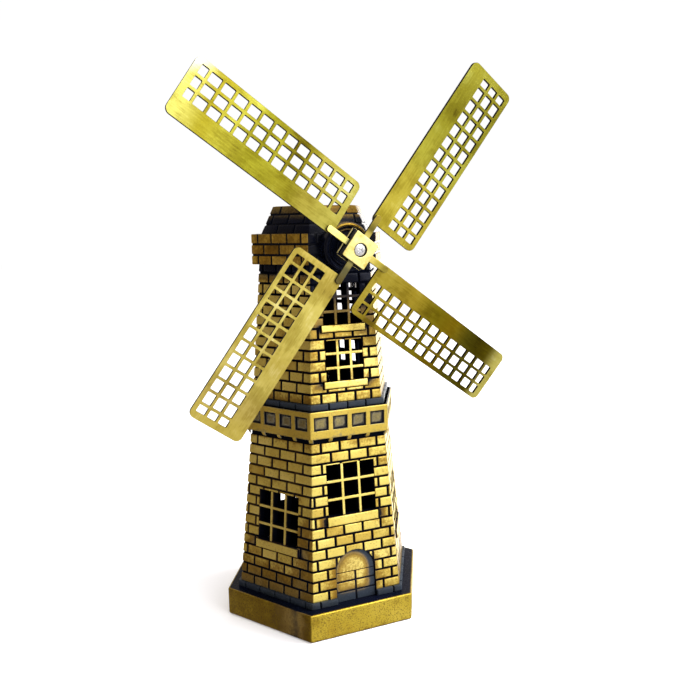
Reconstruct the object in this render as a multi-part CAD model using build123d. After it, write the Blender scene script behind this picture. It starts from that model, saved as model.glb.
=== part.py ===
"""Desk windmill: a six-sided brick tower of cast metal with four lattice sails that turn.

Millimetres, +Z up. The origin is the centre of the underside, on the surface that the model
stands on. The door and the sails face -Y, and the sails turn about a shaft that dips a little
towards them. Every separate piece is written to parts/ under its own name.
"""
import os
from math import sqrt

from build123d import *

# ---- tower: radii are to the corners of the hexagon ----
BASE_R = 50.0
BASE_TOP = 13.0
BASE_FOOT = 0.3
BASE_WALL = 3.0
BASE_EDGE = 0.6
PAD_THICK = 1.5
PAD_GAP = 0.2

WALL = 2.9
TOWER_WALL = 4.5
COURSE = 4.79
PLINTH_H = 2.3

LOWER_FOOT_R = 43.65
LOWER_TOP_R = 35.8
GALLERY_Z = 88.75
GALLERY_R = 37.8
GALLERY_H = 12.35
UPPER_FOOT_R = 34.6
UPPER_TOP_R = 29.0
CAP_Z = 164.7
CAP_R = 32.4
CAP_H = 13.5
ROOF_FOOT_R = 27.6
ROOF_TOP_R = 21.6
ROOF_H = 12.2
PLUG_GAP = 0.06

UPPER_Z = GALLERY_Z + GALLERY_H
ROOF_Z = CAP_Z + CAP_H
PLINTH_STEP = 1.1

# ---- windows, sills and door, measured across and up a facet ----
FACETS = (-150, -90, -30, 30, 90, 150)
CORNERS = (0, 60, 120, 180, 240, 300)
TALL_FACETS = (-90, 30, 150)
PLAIN_FACET = 30
BAR = 1.2
SILL_OUT = 0.8
BIG_WINDOW = 23.4
BIG_SILL = 24.8
BIG_HIGH_W = 51.8
BIG_LOW_W = 37.0
SILL_GAP = 0.6
SMALL_WINDOW = 18.1
SMALL_SILL = 21.0
SMALL_WS = (21.3, 46.3)
DOOR_W = 19.7
DOOR_H = 23.4
DOOR_DEEP = 0.9

# ---- gallery ----
PANEL_W = 6.85
PANEL_H = 6.0
PANEL_PITCH = 9.1
PANEL_UP = 6.8
PANEL_DEEP = 0.8
CORBEL_DROP = 1.8
CORBEL_W = 1.9
CORBEL_GAP = 0.3
DECK_THICK = 2.5
DECK_HOLE_R = 24.0

# ---- screws that hold the tower together ----
LUG_R = 3.5
LUG_H = 9.0
SHANK_R = 1.45
CLEAR_R = 1.7
PILOT_R = 1.5
HEAD_R = 2.9
HEAD_H = 2.0
SLOT_LONG = 3.2
SLOT_WIDE = 0.8
SLOT_DEEP = 0.8
SCREW_ANGLES = (-120, -60, 60, 120)
BASE_SCREW_AT = 37.2
TOWER_SCREW_AT = 28.4
CAP_SCREW_AT = 21.6
CAP_HOLE_R = 16.6
CAP_LUG_H = 4.0

# ---- rotor: distances along the shaft are forward from the plane y = 0 ----
NOD = 4.0
SHAFT_Z = 174.4
SHAFT_R = 2.0
RUNNING_GAP = 0.05
SAIL_ANGLE = 54.8
SAIL_PITCH = 4.6
ARM_SET = (1.2, -0.6, 0.0, -0.6)

BOSS_R = 10.8
BOSS_BACK = 21.0
BOSS_FRONT = 34.7
BOSS_SEAT = 3.0
BOSS_ROUND = 1.2
BOSS_RIM = 2.0
BOSS_SINK = 1.4
BOSS_COLLAR = 1.7
RING_OUT = 8.1
RING_IN = 7.2
RING_H = 0.5
SPIGOT_R = 5.0
BUSH_R = 3.5
CLIP_T = 19.9
CLIP_THICK = 0.7
SHAFT_TAIL = 17.0
SHAFT_TIP = 45.0
TAPPED_R = 1.27
TAPPED_DEEP = 9.0
GROOVE_R = 1.55
GROOVE_GAP = 0.05
CLIP_OUT_R = 3.4
CLIP_IN_R = 1.6
CLIP_MOUTH = 2.4
SPACER_R = 3.2

HUB_BACK = 42.0
HUB_RIM = 1.2
HUB_PLATE = 13.2
HUB_SEAM = 45.2
HUB_COVER = 12.0
HUB_FRONT = 47.1
HUB_ROUND = 0.6
HUB_EDGE = 0.25
HUB_SINK = 1.3
HUB_SINK_R = 2.9
HUB_SCREW_R = 2.5
HUB_SCREW_H = 1.2
HUB_SHANK_R = 1.25
HUB_SHANK = 8.0
HUB_CLEAR_R = 1.4
CROSS_LONG = 2.6
CROSS_WIDE = 0.6
CROSS_DEEP = 0.6

ARM_T = 43.75
ARM_THICK = 1.2
ARM_W = 2.9
ARM_IN = 3.6
ARM_OUT = 16.8
ARM_OFFSET = 0.2
ARM_ROUND = 0.9
CHANNEL_LONG = 10.0
CHANNEL_BACK = 0.2
CHANNEL_GAP = 0.3
CHANNEL_DROP = 0.25

SAIL_THICK = 1.4
SAIL_IN = 13.1
SAIL_OUT = 94.2
SAIL_EDGE = 1.9
SAIL_WIDE = 24.9
SAIL_CORNER = 2.6
HOLE_ROWS = 3
HOLE_COLUMNS = 13
HOLE_W = 4.0
HOLE_ROW_START = 6.4
HOLE_ROW_PITCH = 5.25
HOLE_START = 15.9
HOLE_END = 91.2
LATTICE_BAR = 1.25
LATTICE_FIRST = 20.1
LATTICE_PITCH = 6.12

FLAT = sqrt(3) / 2
BIG = 300.0
OVERSHOOT = 1.0
PRESS_GAP = 0.02


# ---- shared shapes ----
def frustum(foot_r, foot_z, top_r, top_z):
    """Six-sided block, with two opposite corners on the X axis."""
    foot = Plane.XY.offset(foot_z) * RegularPolygon(foot_r, 6)
    top = Plane.XY.offset(top_z) * RegularPolygon(top_r, 6)
    return loft([foot.face(), top.face()], ruled=True)


def prism(radius, low, high):
    return frustum(radius, low, radius, high)


def facet(angle, foot_r, foot_z, top_r, top_z):
    """Plane on one side: X across, Y up the slope, Z out of the wall."""
    outward = Vector(1, 0, 0).rotate(Axis.Z, angle)
    foot = outward * (foot_r * FLAT) + Vector(0, 0, foot_z)
    top = outward * (top_r * FLAT) + Vector(0, 0, top_z)
    across = Vector(0, 1, 0).rotate(Axis.Z, angle)
    return Plane(origin=foot, x_dir=across, z_dir=across.cross(top - foot))


def post(x, y, low, high, radius):
    return Pos(x, y, (low + high) / 2) * Cylinder(radius, high - low)


def at_corners(distance):
    """The four places, near the front and rear corners, where screws stand."""
    return [Vector(distance, 0, 0).rotate(Axis.Z, angle) for angle in SCREW_ANGLES]


def half(solid, side):
    """The front (side -1) or rear (side 1) half of a tower stage."""
    keep = Pos(0, side * BIG / 2, 0) * Box(BIG, BIG, 2 * BIG)
    return solid & keep


def panes(size, up):
    """The nine see-through panes of a window, as one cutter on a facet plane."""
    clear = (size - 2 * BAR) / 3
    step = clear + BAR
    cutters = []
    for column in (-1, 0, 1):
        for row in (-1, 0, 1):
            spot = Pos(column * step, up + row * step, 0)
            cutters.append(spot * Box(clear, clear, 4 * WALL))
    return cutters


def sill(width, window, up):
    height = COURSE - SILL_GAP
    top = up - window / 2
    return Pos(0, top - height / 2, 0) * Box(width, height, 2 * SILL_OUT)


def doorway():
    """Arched recess in the door facet."""
    radius = DOOR_W / 2
    straight = DOOR_H - radius
    outline = Pos(0, straight / 2) * Rectangle(DOOR_W, straight) + Pos(0, straight) * Circle(radius)
    return extrude(Pos(0, 0, -DOOR_DEEP) * outline, 2 * WALL)


def screws(distance, head_low, tip):
    """Four identical pan-head screws, heads down."""
    made = []
    for spot in at_corners(distance):
        head = post(spot.X, spot.Y, head_low, head_low + HEAD_H, HEAD_R)
        slot = Box(SLOT_LONG, SLOT_WIDE, 2 * SLOT_DEEP) + Box(SLOT_WIDE, SLOT_LONG, 2 * SLOT_DEEP)
        slot = Pos(spot.X, spot.Y, head_low) * slot
        shank = post(spot.X, spot.Y, head_low + HEAD_H, tip, SHANK_R)
        made.append(head - slot + shank)
    return made


# ---- tower ----
def base():
    """Hexagonal foot, hollow underneath, with its top drilled for the screws."""
    block = prism(BASE_R, BASE_FOOT, BASE_TOP)
    block = fillet(block.edges().filter_by_position(Axis.Z, BASE_TOP, BASE_TOP), BASE_EDGE)
    block -= prism(BASE_R - BASE_WALL / FLAT, BASE_FOOT, BASE_TOP - BASE_WALL)
    for spot in at_corners(BASE_SCREW_AT):
        block -= post(spot.X, spot.Y, 0, BASE_TOP, CLEAR_R)
    return block


def base_pad():
    """Soft sheet let into the underside, which the model stands on."""
    return prism(BASE_R - BASE_WALL / FLAT - PAD_GAP, 0, PAD_THICK)


def tower_stage(foot_r, foot_z, top_r, top_z):
    """Hollow stage with a plinth course that steps out at its foot."""
    solid = frustum(foot_r, foot_z, top_r, top_z)
    plinth = prism(foot_r + PLINTH_STEP, foot_z, foot_z + PLINTH_H)
    hollow = frustum(foot_r - TOWER_WALL, foot_z, top_r - TOWER_WALL, top_z)
    return solid + plinth - hollow


def with_lugs(stage, distance, low, high, hole_r, shape):
    """Add drilled screw lugs in the inner corners, kept inside the outer faces of the wall."""
    foot_r, foot_z, top_r, top_z = shape
    inside = frustum(foot_r - 1, foot_z, top_r - 1, top_z)
    for spot in at_corners(distance):
        stage += post(spot.X, spot.Y, low, high, LUG_R) & inside
        stage -= post(spot.X, spot.Y, low, high, hole_r)
    return stage


def lower_tower():
    shape = (LOWER_FOOT_R, BASE_TOP, LOWER_TOP_R, GALLERY_Z)
    stage = tower_stage(*shape)
    for angle in FACETS:
        wall = facet(angle, *shape)
        high = angle in TALL_FACETS
        up = BIG_HIGH_W if high else BIG_LOW_W
        if angle != PLAIN_FACET:
            stage += wall * sill(BIG_SILL, BIG_WINDOW, up)
            stage -= [wall * pane for pane in panes(BIG_WINDOW, up)]
        if angle == -90:
            stage -= wall * doorway()
    stage = with_lugs(stage, BASE_SCREW_AT, BASE_TOP, BASE_TOP + LUG_H, PILOT_R, shape)
    stage = with_lugs(stage, TOWER_SCREW_AT, GALLERY_Z - LUG_H, GALLERY_Z, CLEAR_R, shape)
    return half(stage, -1), half(stage, 1)


def corbel(angle, ring_at, wall_at):
    """Small wedge under the ring, tapering down to the wall, clear of it by a hair."""
    outward = Vector(1, 0, 0).rotate(Axis.Z, angle)
    foot = wall_at + CORBEL_GAP
    profile = Polyline((ring_at, 0), (foot, 0), (foot, -CORBEL_DROP), close=True)
    side = Plane((0, 0, GALLERY_Z), x_dir=outward, z_dir=outward.cross(Vector(0, 0, 1)))
    wedge = extrude(side * make_face(profile), CORBEL_W / 2, both=True)
    return wedge & prism(GALLERY_R, GALLERY_Z - CORBEL_DROP, GALLERY_Z)


def gallery():
    """Balcony ring: four sunk panels a side, corbels below, and a deck that closes the stage."""
    top = UPPER_Z
    ring = prism(GALLERY_R, GALLERY_Z, top)
    ring -= prism(LOWER_TOP_R - WALL, GALLERY_Z, top - DECK_THICK)
    ring -= prism(DECK_HOLE_R, GALLERY_Z, top)
    for angle in FACETS:
        wall = facet(angle, GALLERY_R, GALLERY_Z, GALLERY_R, top)
        for step in (-1.5, -0.5, 0.5, 1.5):
            panel = Box(PANEL_W, PANEL_H, 2 * PANEL_DEEP)
            ring -= wall * Pos(step * PANEL_PITCH, PANEL_UP, 0) * panel
        for step in (-1, 0, 1):
            aside = wall.x_dir * (step * PANEL_PITCH)
            ring += corbel(angle, GALLERY_R * FLAT, LOWER_TOP_R * FLAT).translate(aside)
    for angle in CORNERS:
        ring += corbel(angle, GALLERY_R, LOWER_TOP_R)
    for spot in at_corners(TOWER_SCREW_AT):
        ring -= post(spot.X, spot.Y, GALLERY_Z, top, CLEAR_R)
    return ring


def upper_tower():
    shape = (UPPER_FOOT_R, UPPER_Z, UPPER_TOP_R, CAP_Z)
    stage = tower_stage(*shape)
    for angle in TALL_FACETS:
        wall = facet(angle, *shape)
        for up in SMALL_WS:
            stage += wall * sill(SMALL_SILL, SMALL_WINDOW, up)
            stage -= [wall * pane for pane in panes(SMALL_WINDOW, up)]
    stage = with_lugs(stage, TOWER_SCREW_AT, UPPER_Z, UPPER_Z + LUG_H, PILOT_R, shape)
    stage = with_lugs(stage, CAP_SCREW_AT, CAP_Z - LUG_H, CAP_Z, CLEAR_R, shape)
    return half(stage, -1), half(stage, 1)


def cap():
    """Overhanging band under the roof: a tub with an open top, bored for the bearing."""
    band = prism(CAP_R, CAP_Z, ROOF_Z)
    band -= prism(CAP_R - WALL, CAP_Z + DECK_THICK, ROOF_Z)
    band -= prism(CAP_HOLE_R, CAP_Z, ROOF_Z)
    for spot in at_corners(CAP_SCREW_AT):
        band += post(spot.X, spot.Y, CAP_Z, CAP_Z + DECK_THICK + CAP_LUG_H, LUG_R)
        band -= post(spot.X, spot.Y, CAP_Z, CAP_Z + DECK_THICK + CAP_LUG_H, PILOT_R)
    return band - bearing_bore()


def roof():
    """Hollow, flat-topped pyramid on a flange that plugs into the cap."""
    shell = frustum(ROOF_FOOT_R, ROOF_Z, ROOF_TOP_R, ROOF_Z + ROOF_H)
    shell += prism(CAP_R - WALL - PLUG_GAP, ROOF_Z - DECK_THICK, ROOF_Z)
    inner_top = ROOF_Z + ROOF_H - DECK_THICK
    shell -= frustum(ROOF_FOOT_R - WALL, ROOF_Z, ROOF_TOP_R - WALL, inner_top)
    shell -= prism(ROOF_FOOT_R - WALL, ROOF_Z - DECK_THICK, ROOF_Z)
    return shell - bearing_bore()


# ---- rotor: modelled with the shaft along Z, then laid along the real shaft ----
ROTOR = Plane(
    origin=(0, 0, SHAFT_Z),
    x_dir=(1, 0, 0),
    z_dir=Vector(0, -1, 0).rotate(Axis.X, NOD),
)


def on_shaft(low, high, radius):
    return ROTOR * Pos(0, 0, (low + high) / 2) * Cylinder(radius, high - low)


def bearing_bore():
    return on_shaft(BOSS_BACK - 2 * OVERSHOOT, BOSS_FRONT, SPIGOT_R + PRESS_GAP)


def sleeve(low, high, outer, inner):
    return on_shaft(low, high, outer) - on_shaft(low - OVERSHOOT, high + OVERSHOOT, inner)


def bearing_boss():
    """Round housing on the cap: a raised rim, a sunk face with one ring, and a spigot behind."""
    back = BOSS_BACK + BOSS_SEAT
    floor = BOSS_FRONT - BOSS_SINK
    disc = Pos(0, 0, (BOSS_FRONT + back) / 2) * Cylinder(BOSS_R, BOSS_FRONT - back)
    disc = fillet(disc.edges().sort_by(Axis.Z)[-1], BOSS_ROUND)
    sunk = Cylinder(BOSS_R - BOSS_RIM, 2 * BOSS_RIM) - Cylinder(BUSH_R + BOSS_COLLAR, 2 * BOSS_RIM)
    sunk = Pos(0, 0, floor + BOSS_RIM) * sunk
    ring = Pos(0, 0, floor + RING_H / 2) * (Cylinder(RING_OUT, RING_H) - Cylinder(RING_IN, RING_H))
    disc = ROTOR * (disc - sunk + ring)
    cap_face = -CAP_R * FLAT
    disc &= Pos(0, cap_face - BIG / 2, SHAFT_Z) * Box(BIG, BIG, BIG)
    spigot = on_shaft(BOSS_BACK, BOSS_FRONT - BOSS_SEAT, SPIGOT_R)
    return disc + spigot - on_shaft(BOSS_BACK - OVERSHOOT, BOSS_FRONT + OVERSHOOT, BUSH_R + PRESS_GAP)


def shaft_bush():
    return sleeve(BOSS_BACK - 0.2, BOSS_FRONT + 0.2, BUSH_R, SHAFT_R + RUNNING_GAP)


def windshaft():
    """Steel spindle: a groove for the clip near its tail and a tapped hole in its tip."""
    shaft = on_shaft(SHAFT_TAIL, SHAFT_TIP, SHAFT_R)
    groove_end = CLIP_T + CLIP_THICK + GROOVE_GAP
    shaft -= sleeve(CLIP_T - GROOVE_GAP, groove_end, SHAFT_R + OVERSHOOT, GROOVE_R)
    return shaft - on_shaft(SHAFT_TIP - TAPPED_DEEP, SHAFT_TIP + OVERSHOOT, TAPPED_R)


def shaft_clip():
    ring = sleeve(CLIP_T, CLIP_T + CLIP_THICK, CLIP_OUT_R, CLIP_IN_R)
    mouth = ROTOR * Pos(0, -CLIP_OUT_R, CLIP_T) * Box(CLIP_MOUTH, 2 * CLIP_OUT_R, 4)
    return ring - mouth


def spacer():
    return sleeve(BOSS_FRONT + 0.3, HUB_BACK, SPACER_R, SHAFT_R + PRESS_GAP)


def turned(solid, turn):
    """Place a piece that was drawn along local X on the arm at this angle."""
    return ROTOR * Rot(0, 0, turn) * solid


def arm_angles():
    return [SAIL_ANGLE + 90 * number for number in range(4)]


def hub_plate():
    """Square rear plate and the block on it, with a channel for each arm."""
    thick = HUB_SEAM - HUB_BACK
    plate = Pos(0, 0, HUB_BACK + HUB_RIM / 2) * Box(HUB_PLATE, HUB_PLATE, HUB_RIM)
    plate += Pos(0, 0, HUB_BACK + thick / 2) * Box(HUB_COVER, HUB_COVER, thick)
    plate = fillet(plate.edges().filter_by(Axis.Z), HUB_ROUND)
    plate = turned(plate, SAIL_ANGLE)
    for turn in arm_angles():
        deep = HUB_SEAM - ARM_T + CHANNEL_DROP
        place = Pos(ARM_IN + CHANNEL_LONG / 2 - CHANNEL_BACK, ARM_OFFSET, HUB_SEAM - deep / 2)
        channel = place * Box(CHANNEL_LONG, ARM_W + CHANNEL_GAP, deep)
        plate -= turned(channel, turn)
    return plate - on_shaft(HUB_BACK - OVERSHOOT, HUB_SEAM + OVERSHOOT, SHAFT_R + PRESS_GAP / 2)


def hub_cover():
    """Square front cover that clamps the arms, sunk for the screw head."""
    thick = HUB_FRONT - HUB_SEAM
    cover = Pos(0, 0, HUB_SEAM + thick / 2) * Box(HUB_COVER, HUB_COVER, thick)
    cover = fillet(cover.edges().filter_by(Axis.Z), HUB_ROUND)
    cover = chamfer(cover.faces().sort_by(Axis.Z)[-1].edges(), HUB_EDGE)
    cover = turned(cover, SAIL_ANGLE)
    cover -= on_shaft(HUB_FRONT - HUB_SINK, HUB_FRONT + OVERSHOOT, HUB_SINK_R)
    return cover - on_shaft(HUB_SEAM - OVERSHOOT, HUB_FRONT, HUB_CLEAR_R)


def hub_screw():
    """Cross-head screw, domed, with its shank in the tapped tip of the shaft."""
    seat = HUB_FRONT - HUB_SINK
    dome = Pos(0, 0, seat + HUB_SCREW_H / 2) * Cylinder(HUB_SCREW_R, HUB_SCREW_H)
    dome = fillet(dome.edges().sort_by(Axis.Z)[-1], 0.5)
    cross = Box(CROSS_LONG, CROSS_WIDE, 2 * CROSS_DEEP) + Box(CROSS_WIDE, CROSS_LONG, 2 * CROSS_DEEP)
    cross = Pos(0, 0, seat + HUB_SCREW_H) * cross
    shank = Pos(0, 0, seat - HUB_SHANK / 2) * Cylinder(HUB_SHANK_R, HUB_SHANK)
    return turned(dome - cross + shank, SAIL_ANGLE)


def set_on_arm(solid, number):
    """Pitch and bend a piece drawn along local X, then turn it to its arm."""
    pitched = Pos(0, 0, ARM_T) * Rot(SAIL_PITCH, 0, 0) * Pos(0, 0, -ARM_T) * solid
    bent = Pos(0, 0, ARM_T) * Rot(0, -ARM_SET[number], 0) * Pos(0, 0, -ARM_T) * pitched
    return turned(bent, arm_angles()[number])


def arm(number):
    length = ARM_OUT - ARM_IN
    middle = Pos((ARM_IN + ARM_OUT) / 2, ARM_OFFSET, ARM_T + ARM_THICK / 2)
    bar = middle * Box(length, ARM_W, ARM_THICK)
    ends = bar.edges().filter_by(Axis.Z).sort_by(Axis.X)[-2:]
    bar = fillet(ends, ARM_ROUND)
    return set_on_arm(bar, number)


def lattice_columns():
    """Start and end of each hole along the sail; the first and last holes are shorter."""
    starts = [HOLE_START]
    ends = []
    for bar in range(HOLE_COLUMNS - 1):
        centre = LATTICE_FIRST + bar * LATTICE_PITCH
        ends.append(centre - LATTICE_BAR / 2)
        starts.append(centre + LATTICE_BAR / 2)
    return zip(starts, ends + [HOLE_END])


def sail(number):
    """Flat sail: a solid board along the arm and a lattice of square holes beside it."""
    length = SAIL_OUT - SAIL_IN
    middle = Pos((SAIL_IN + SAIL_OUT) / 2, SAIL_EDGE - SAIL_WIDE / 2, ARM_T - SAIL_THICK / 2)
    board = middle * Box(length, SAIL_WIDE, SAIL_THICK)
    board = fillet(board.edges().filter_by(Axis.Z), SAIL_CORNER)
    holes = []
    for start, end in lattice_columns():
        for row in range(HOLE_ROWS):
            across = -(HOLE_ROW_START + row * HOLE_ROW_PITCH + HOLE_W / 2)
            spot = Pos((start + end) / 2, across, ARM_T)
            holes.append(spot * Box(end - start, HOLE_W, 4 * SAIL_THICK))
    return set_on_arm(board - holes, number)


# ---- write every piece ----
def save(name, shape):
    pieces = shape if isinstance(shape, list) else [shape]
    solids = [solid for piece in pieces for solid in piece.solids()]
    export_step(solids[0] if len(solids) == 1 else Compound(children=solids), f"parts/{name}.step")


os.makedirs("parts", exist_ok=True)

lower_front, lower_rear = lower_tower()
upper_front, upper_rear = upper_tower()

save("base", base())
save("base_pad", base_pad())
save("base_screws", screws(BASE_SCREW_AT, BASE_TOP - BASE_WALL - HEAD_H, BASE_TOP + LUG_H - 1))
save("lower_shell_front", lower_front)
save("lower_shell_rear", lower_rear)
save("gallery", gallery())
save("tower_screws", screws(TOWER_SCREW_AT, GALLERY_Z - LUG_H - HEAD_H, UPPER_Z + LUG_H - 1))
save("upper_shell_front", upper_front)
save("upper_shell_rear", upper_rear)
save("cap", cap())
save("cap_screws", screws(CAP_SCREW_AT, CAP_Z - LUG_H - HEAD_H, CAP_Z + DECK_THICK + CAP_LUG_H - 1))
save("roof", roof())
save("bearing_boss", bearing_boss())
save("shaft_bush", shaft_bush())
save("windshaft", windshaft())
save("shaft_clip", shaft_clip())
save("spacer", spacer())
save("hub_plate", hub_plate())
save("hub_cover", hub_cover())
save("hub_screw", hub_screw())
for number in range(4):
    save(f"arm_{number + 1}", arm(number))
    save(f"sail_{number + 1}", sail(number))
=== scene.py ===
import math
import random

import bmesh
import bpy
from mathutils import Matrix, Vector, noise


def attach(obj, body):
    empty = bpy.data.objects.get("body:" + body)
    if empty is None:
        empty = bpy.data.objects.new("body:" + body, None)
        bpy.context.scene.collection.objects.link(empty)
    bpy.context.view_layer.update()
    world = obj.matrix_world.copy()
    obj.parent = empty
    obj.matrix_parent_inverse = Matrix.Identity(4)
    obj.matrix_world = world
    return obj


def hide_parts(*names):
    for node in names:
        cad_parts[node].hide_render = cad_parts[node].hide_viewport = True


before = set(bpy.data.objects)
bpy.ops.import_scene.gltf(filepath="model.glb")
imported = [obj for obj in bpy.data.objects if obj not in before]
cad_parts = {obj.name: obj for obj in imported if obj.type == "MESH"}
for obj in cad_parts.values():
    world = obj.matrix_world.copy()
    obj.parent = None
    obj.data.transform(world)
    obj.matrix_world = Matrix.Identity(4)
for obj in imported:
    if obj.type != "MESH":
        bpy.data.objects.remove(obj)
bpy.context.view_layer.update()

MM = 0.001
FLAT = math.sqrt(3) / 2
ANGLES = (-150, -90, -30, 30, 90, 150)
FRONT, REAR = (-150, -90, -30), (30, 90, 150)
rng = random.Random(11)

# ---- sizes, in millimetres: the same as the CAD model's ----
# A stage is its corner radius and height at the foot, then at the top.
BASE_R, BASE_FOOT, BASE_TOP, BASE_WALL = 50.0, 0.3, 13.0, 3.0
LOWER = (43.65, 13.0, 35.8, 88.75)
UPPER = (34.6, 101.1, 29.0, 164.7)
GALLERY_R, GALLERY_Z, GALLERY_TOP = 37.8, 88.75, 101.1
CAP_R, CAP_Z, ROOF_Z, ROOF_TOP = 32.4, 164.7, 178.2, 190.4
ROOF = (27.6, ROOF_Z, 21.6, ROOF_TOP)
WALL, THIN = 3.9, 2.5
MORTAR = 0.5
STEP = 1.1

TALL, PLAIN = (-90, 30, 150), 30
BAR = 1.2
DOOR_HALF, DOOR_SPRING, DOOR_APEX, DOOR_DEEP = 9.85, 13.55, 23.4, 0.9

SHAFT_Z, NOD = 174.4, math.radians(4)
SAIL_ANGLE, SAIL_PITCH = 54.8, 4.6
ARM_SET = (1.2, -0.6, 0.0, -0.6)
ARM_T = 43.75


def smooth(a, b, x):
    t = min(max((x - a) / (b - a), 0.0), 1.0)
    return t * t * (3 - 2 * t)


def mix(a, b, t):
    return a + (b - a) * t


def link(obj):
    bpy.context.scene.collection.objects.link(obj)
    return obj


# ---- mesh under construction ----
class Casting:
    """Vertices in millimetres, each with how far its patina is rubbed through, which in places also paints
    shade and highlights, and its tone, which near 1 paints a sheen on the black.
    """

    def __init__(self):
        self.points, self.faces, self.rub, self.tone = [], [], [], []

    def vert(self, point, rub, tone=0.5):
        self.points.append(Vector(point))
        self.rub.append(rub)
        self.tone.append(tone)
        return len(self.points) - 1

    def face(self, corners):
        seen = []
        for c in corners:
            if c not in seen:
                seen.append(c)
        if len(seen) > 2:
            self.faces.append(seen)

    def band(self, lower, upper):
        """Quads between two closed loops of the same length."""
        n = len(lower)
        for i in range(n):
            k = (i + 1) % n
            self.face((lower[i], lower[k], upper[k], upper[i]))

    def stack(self, loops, capped=True):
        """Skin over closed loops, one on the next; its ends are capped, or joined to each other."""
        for lower, upper in zip(loops, loops[1:]):
            self.band(lower, upper)
        if capped:
            self.face(loops[0][::-1])
            self.face(loops[-1])
        else:
            self.band(loops[-1], loops[0])

    def build(self, name, material, body, slot, nodes, matrix=None, angle=32):
        mesh = bpy.data.meshes.new(name)
        mesh.from_pydata([p * MM for p in self.points], [], self.faces)
        for key, values in (("rub", self.rub), ("tone", self.tone)):
            layer = mesh.attributes.new(key, "FLOAT", "POINT")
            layer.data.foreach_set("value", values)
        place(name, mesh, material, body, nodes, matrix, angle)


SAME_PLACE = 1e-7    # metres


def place(name, mesh, material, body, nodes, matrix=None, angle=32):
    """Cleans a mesh of faces without area, and makes it a piece that stands for CAD nodes."""
    bm = bmesh.new()
    bm.from_mesh(mesh)
    bmesh.ops.dissolve_degenerate(bm, dist=SAME_PLACE, edges=bm.edges)
    bmesh.ops.dissolve_verts(bm, verts=[v for v in bm.verts if len(v.link_edges) == 2])
    bmesh.ops.recalc_face_normals(bm, faces=bm.faces)
    bm.to_mesh(mesh)
    bm.free()
    mesh.shade_smooth()
    mesh.set_sharp_from_angle(angle=math.radians(angle))
    mesh.materials.append(material)
    obj = link(bpy.data.objects.new(name, mesh))
    if matrix is not None:
        obj.matrix_world = matrix
    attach(obj, body)
    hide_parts(*nodes)


# ---- one side of a six-sided stage ----
class Side:
    def __init__(self, angle, foot_r, foot_z, top_r, top_z):
        a = math.radians(angle)
        outward = Vector((math.cos(a), math.sin(a), 0))
        foot = outward * foot_r * FLAT + Vector((0, 0, foot_z))
        top = outward * top_r * FLAT + Vector((0, 0, top_z))
        self.angle = angle
        self.origin = foot
        self.length = (top - foot).length
        self.across = Vector((-math.sin(a), math.cos(a), 0))
        self.up = (top - foot).normalized()
        self.out = self.across.cross(self.up)
        self.half_foot, self.half_top = foot_r / 2, top_r / 2

    def edge(self, w, d):
        """Distance from the middle of the side to its corner, w up the slope and d out."""
        half = self.half_foot + (self.half_top - self.half_foot) * w / self.length
        return half + d * self.up.z / math.sqrt(3)

    def at(self, u, w, d):
        return self.origin + self.across * u + self.up * w + self.out * d


def sides(stage, angles=ANGLES):
    return [Side(angle, *stage) for angle in angles]


# A column is (side, u, e, sink): its place across the side is u + e * edge.
def col(side, u, e=0, sink=0.0):
    return (side, u, e, sink)


def across(walls, column, w, d=0):
    """A column's place across its side."""
    side, u, e, _ = column
    return u + e * walls[side].edge(w, d)


def rounding(low, high, soft, ring, floor_rub=0):
    """Levels of a solid, from its hidden floor to its rubbed top, as (inset, depth, rub)."""
    return ((0, low, floor_rub), (0, high - soft, 0.15), (0.3 * soft, high - 0.3 * soft, 0.75),
            (soft, high, 0.98), (soft + ring, high, 1.0))


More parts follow.
